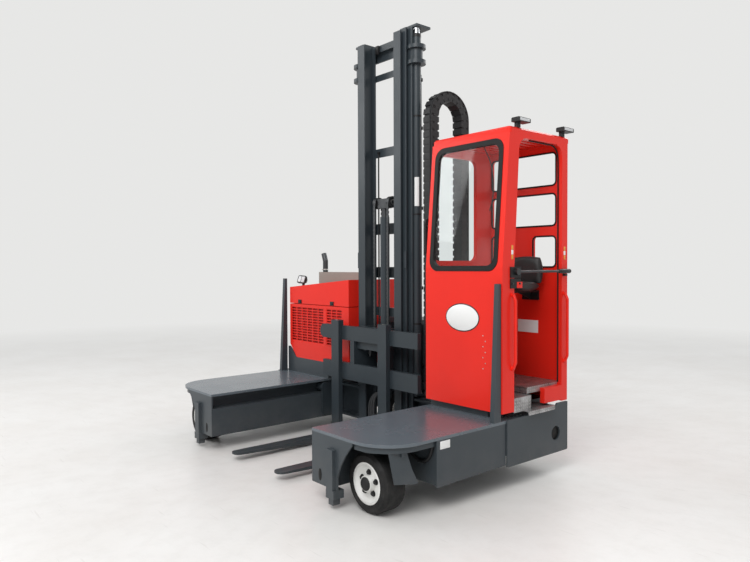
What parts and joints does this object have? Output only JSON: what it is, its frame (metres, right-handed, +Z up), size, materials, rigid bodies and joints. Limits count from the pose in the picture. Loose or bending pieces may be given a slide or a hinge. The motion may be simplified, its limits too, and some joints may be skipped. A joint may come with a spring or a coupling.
{
  "type": "multidirectional forklift",
  "caption": "Multidirectional forklift with a U-shaped chassis, a reaching three-stage mast, a side cab and steered wheels",
  "frame": {"origin": "on the ground under the middle of the vehicle's outline", "axes": "+X towards the cab's side, -Y towards the fork tips, +Z up"},
  "size_m": [3.105, 1.958, 3.676],
  "materials": {
    "frame_grey": "worn semi-gloss dark slate paint",
    "deck_grey": "scuffed dark grey deck paint",
    "cab_red": "glossy bright red paint",
    "black_plastic": "matte black",
    "rubber": "matte black rubber",
    "tyre": "dusty solid tyre",
    "rim_white": "white paint",
    "steel": "bare rolled steel",
    "chrome": "chromed rod",
    "aluminium": "checker plate",
    "seat_black": "black vinyl",
    "glass": "clear",
    "box_grey": "grey-beige paint",
    "cast": "painted cast iron",
    "lamp": "black lamp housing"
  },
  "bodies": {
    "vehicle": {"chassis_frame": "frame_grey", "deck_plates": "deck_grey", "corner_bands": "frame_grey", "front_feet": "frame_grey", "wheel_guards": "frame_grey", "side_skirts": "frame_grey", "rear_side_panels": "frame_grey", "load_stops": "frame_grey", "counterweight": "frame_grey", "engine_block": "cast", "engine_housing": "cab_red", "grilles": "cab_red", "deck_plinths": "frame_grey", "air_box": "box_grey", "exhaust_pipe": "steel", "cab_door_frame": "cab_red", "cab_inner_side": "cab_red", "cab_front_panel": "cab_red", "screen_rubber": "rubber", "front_glass": "glass", "cab_rear_wall": "cab_red", "cab_roof": "cab_red", "cab_floor": "aluminium", "door_step": "aluminium", "seat": "seat_black", "seat_bracket": "black_plastic", "cab_mirror": "black_plastic", "console": "black_plastic", "steering_wheel": "black_plastic", "bar_pivot": "black_plastic", "grab_handles": "cab_red", "roof_lamps": "lamp", "hose_carrier": "black_plastic"},
    "lid": {"hood_lid": "cab_red", "work_lamp": "lamp"},
    "door_bar": {"safety_bar": "steel"},
    "left_steer": {"left_knuckle": "frame_grey"},
    "left_wheel": {"left_front_tyre": "tyre", "left_front_rim": "rim_white"},
    "right_steer": {"right_knuckle": "frame_grey"},
    "right_wheel": {"right_front_tyre": "tyre", "right_front_rim": "rim_white"},
    "drive_steer": {"drive_fork": "frame_grey"},
    "drive_wheel": {"drive_tyre": "tyre", "drive_rim": "rim_white"},
    "reach": {"mast_trolley": "frame_grey", "mast_foot": "frame_grey", "outer_mast": "frame_grey", "outer_crossbars": "frame_grey", "lift_cylinders": "frame_grey"},
    "middle": {"middle_mast": "frame_grey", "middle_crossbars": "frame_grey", "lift_rods": "chrome"},
    "inner": {"inner_mast": "frame_grey", "inner_crossbars": "frame_grey", "free_lift_cylinder": "frame_grey"},
    "ram": {"free_lift_ram": "steel"},
    "fork_carriage": {"carriage": "frame_grey", "left_fork": "frame_grey", "right_fork": "frame_grey"}
  },
  "joints": [
    {"name": "lid_hinge", "type": "hinge", "parent": "vehicle", "child": "lid", "pos_m": [-0.925, 0.62, 1.44565], "axis": [-0.9963, 0, -0.0864], "range_deg": [0, 60]},
    {"name": "bar_hinge", "type": "hinge", "parent": "vehicle", "child": "door_bar", "pos_m": [1.552, 0.29, 1.565], "axis": [1, 0, 0], "range_deg": [0, 80]},
    {"name": "left_steering", "type": "hinge", "parent": "vehicle", "child": "left_steer", "pos_m": [1.215, -0.75, 0.2], "axis": [0, 0, 1], "range_deg": [-95, 95]},
    {"name": "left_roll", "type": "hinge", "parent": "left_steer", "child": "left_wheel", "pos_m": [1.215, -0.75, 0.2], "axis": [0, 1, 0], "continuous": true},
    {"name": "right_steering", "type": "hinge", "parent": "vehicle", "child": "right_steer", "pos_m": [-1.215, -0.75, 0.2], "axis": [0, 0, 1], "range_deg": [-95, 95]},
    {"name": "right_roll", "type": "hinge", "parent": "right_steer", "child": "right_wheel", "pos_m": [-1.215, -0.75, 0.2], "axis": [0, 1, 0], "continuous": true},
    {"name": "drive_steering", "type": "hinge", "parent": "vehicle", "child": "drive_steer", "pos_m": [0, 0.69, 0.228], "axis": [0, 0, 1], "range_deg": [-95, 95]},
    {"name": "drive_roll", "type": "hinge", "parent": "drive_steer", "child": "drive_wheel", "pos_m": [0, 0.69, 0.228], "axis": [0, 1, 0], "continuous": true},
    {"name": "mast_reach", "type": "slide", "parent": "vehicle", "child": "reach", "axis": [0, -1, 0], "range_m": [0, 1.04]},
    {"name": "middle_lift", "type": "slide", "parent": "reach", "child": "middle", "axis": [0, 0, 1], "range_m": [0, 1.9]},
    {"name": "inner_lift", "type": "slide", "parent": "middle", "child": "inner", "axis": [0, 0, 1], "range_m": [0, 1.9]},
    {"name": "carriage_lift", "type": "slide", "parent": "inner", "child": "fork_carriage", "axis": [0, 0, 1], "range_m": [0, 1.4]},
    {"name": "ram_lift", "type": "slide", "parent": "inner", "child": "ram", "axis": [0, 0, 1], "range_m": [0, 0.7]}
  ],
  "couplings": [
    {"joint": "inner_lift", "follows": "middle_lift", "ratio": 1},
    {"joint": "ram_lift", "follows": "carriage_lift", "ratio": 0.5}
  ]
}
